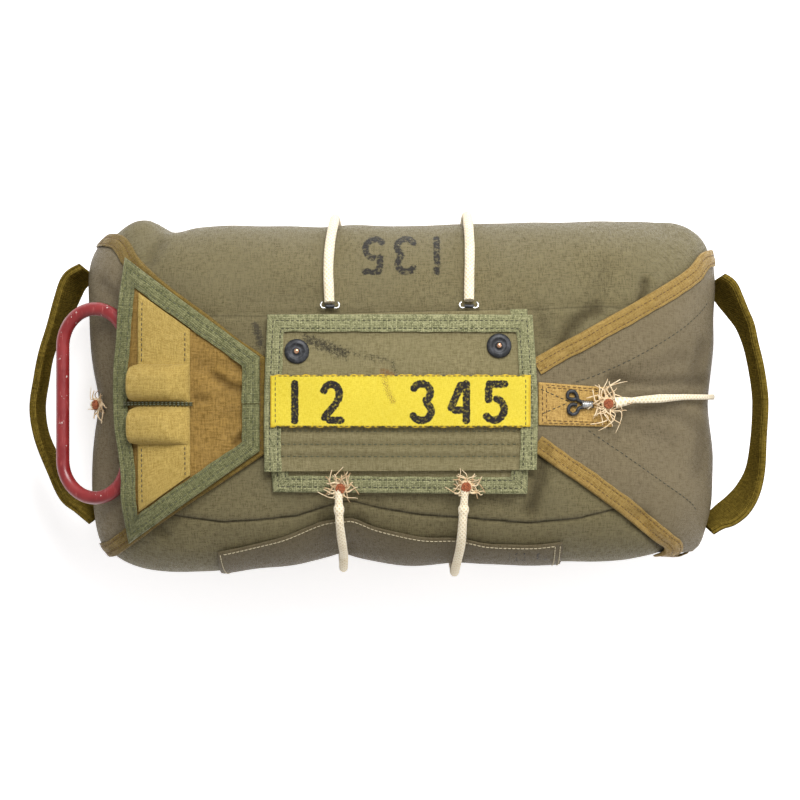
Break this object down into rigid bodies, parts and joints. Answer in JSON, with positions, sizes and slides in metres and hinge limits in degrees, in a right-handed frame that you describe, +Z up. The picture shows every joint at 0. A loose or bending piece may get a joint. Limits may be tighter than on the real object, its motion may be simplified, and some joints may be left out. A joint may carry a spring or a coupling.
{
  "type": "packed parachute",
  "caption": "Stuffed canvas chest parachute lying on its back, with taped end flaps, a buttoned cover, elastic opening bands, webbing handles and a red ripcord grip.",
  "frame": {"origin": "on the resting surface, under the middle of the pack", "axes": "+Z up from the surface through the pack's front, +X along its length away from the ripcord grip, +Y towards the edge that is uppermost when it is worn"},
  "size_m": [0.4538, 0.2236, 0.1465],
  "materials": {
    "pack_canvas": "plain-woven canvas, matt and dusty",
    "end_flap_canvas": "plain-woven canvas, matt",
    "ochre_tape": "woven tape, matt",
    "ochre_patch": "canvas with a sewn cross",
    "mustard_canvas": "canvas, matt",
    "green_tape": "herringbone tape, matt",
    "tan_canvas": "canvas, matt",
    "grip_paint": "red paint, worn and chipped",
    "cover_canvas": "canvas, matt",
    "yellow_strip": "coated yellow cloth with plain stencilled digits",
    "dark_metal": "blackened metal, worn",
    "cream_braid": "braided cotton over rubber",
    "rust_rubber": "perished rubber threads",
    "label_cloth": "sewn cloth, faded",
    "olive_webbing": "woven cotton webbing"
  },
  "bodies": {
    "pack": {"pack_body": "pack_canvas", "left_end_flap": "end_flap_canvas", "right_end_flap": "end_flap_canvas", "left_end_binding": "ochre_tape", "right_end_binding": "ochre_tape", "end_patch": "ochre_patch", "pocket_flap": "mustard_canvas", "pocket_binding": "green_tape", "under_binding": "green_tape", "cover_binding": "green_tape", "pocket_band": "tan_canvas", "under_flap": "cover_canvas", "cover_flap": "cover_canvas", "number_strip": "yellow_strip", "snap_left": "dark_metal", "snap_right": "dark_metal", "end_hook": "dark_metal", "band_hook_left": "dark_metal", "band_hook_right": "dark_metal", "band_upper_left": "cream_braid", "band_upper_right": "cream_braid", "band_lower_left": "cream_braid", "band_lower_right": "cream_braid", "band_right_end": "cream_braid", "band_left_end": "cream_braid", "frayed_lower_left": "cream_braid", "frayed_lower_right": "cream_braid", "frayed_right_end": "cream_braid", "frayed_left_end": "cream_braid", "core_lower_left": "rust_rubber", "core_lower_right": "rust_rubber", "core_right_end": "rust_rubber", "core_left_end": "rust_rubber", "sewn_label": "label_cloth", "handle_left": "olive_webbing", "handle_right": "olive_webbing"},
    "grip": {"ripcord_grip": "grip_paint"}
  },
  "joints": [
    {"name": "grip_pull", "type": "slide", "parent": "pack", "child": "grip", "axis": [-0.9063, 0, -0.4226], "range_m": [0, 0.018]}
  ]
}
